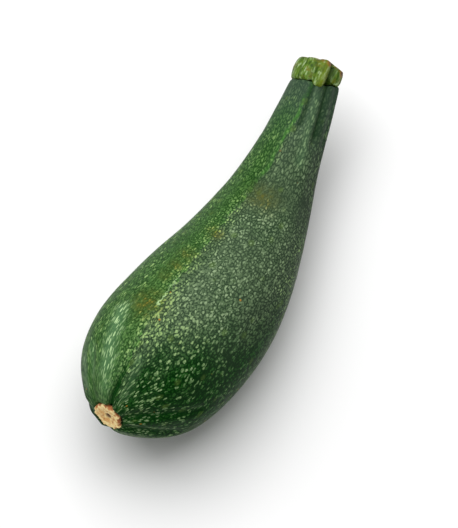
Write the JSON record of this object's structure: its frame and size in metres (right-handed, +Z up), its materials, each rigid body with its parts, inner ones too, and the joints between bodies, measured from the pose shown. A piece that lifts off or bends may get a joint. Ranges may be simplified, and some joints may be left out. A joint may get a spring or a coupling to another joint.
{
  "type": "courgette",
  "caption": "Club-shaped green courgette with soft ribs, speckled skin, a corky blossom scar and a short ribbed cut stem, lying on its belly.",
  "frame": {"origin": "middle of the footprint on the surface that the courgette rests on", "axes": "+Z up from that surface; +Y along the courgette, from the blossom end to the stem; +X across it"},
  "size_m": [0.058, 0.1684, 0.058],
  "materials": {
    "skin": "waxy satin skin, dark green with dense pale green speckles",
    "stem": "yellow-green ribbed stem with a dried pale cut"
  },
  "bodies": {
    "root": {"fruit": "skin", "stem": "stem"}
  },
  "joints": []
}
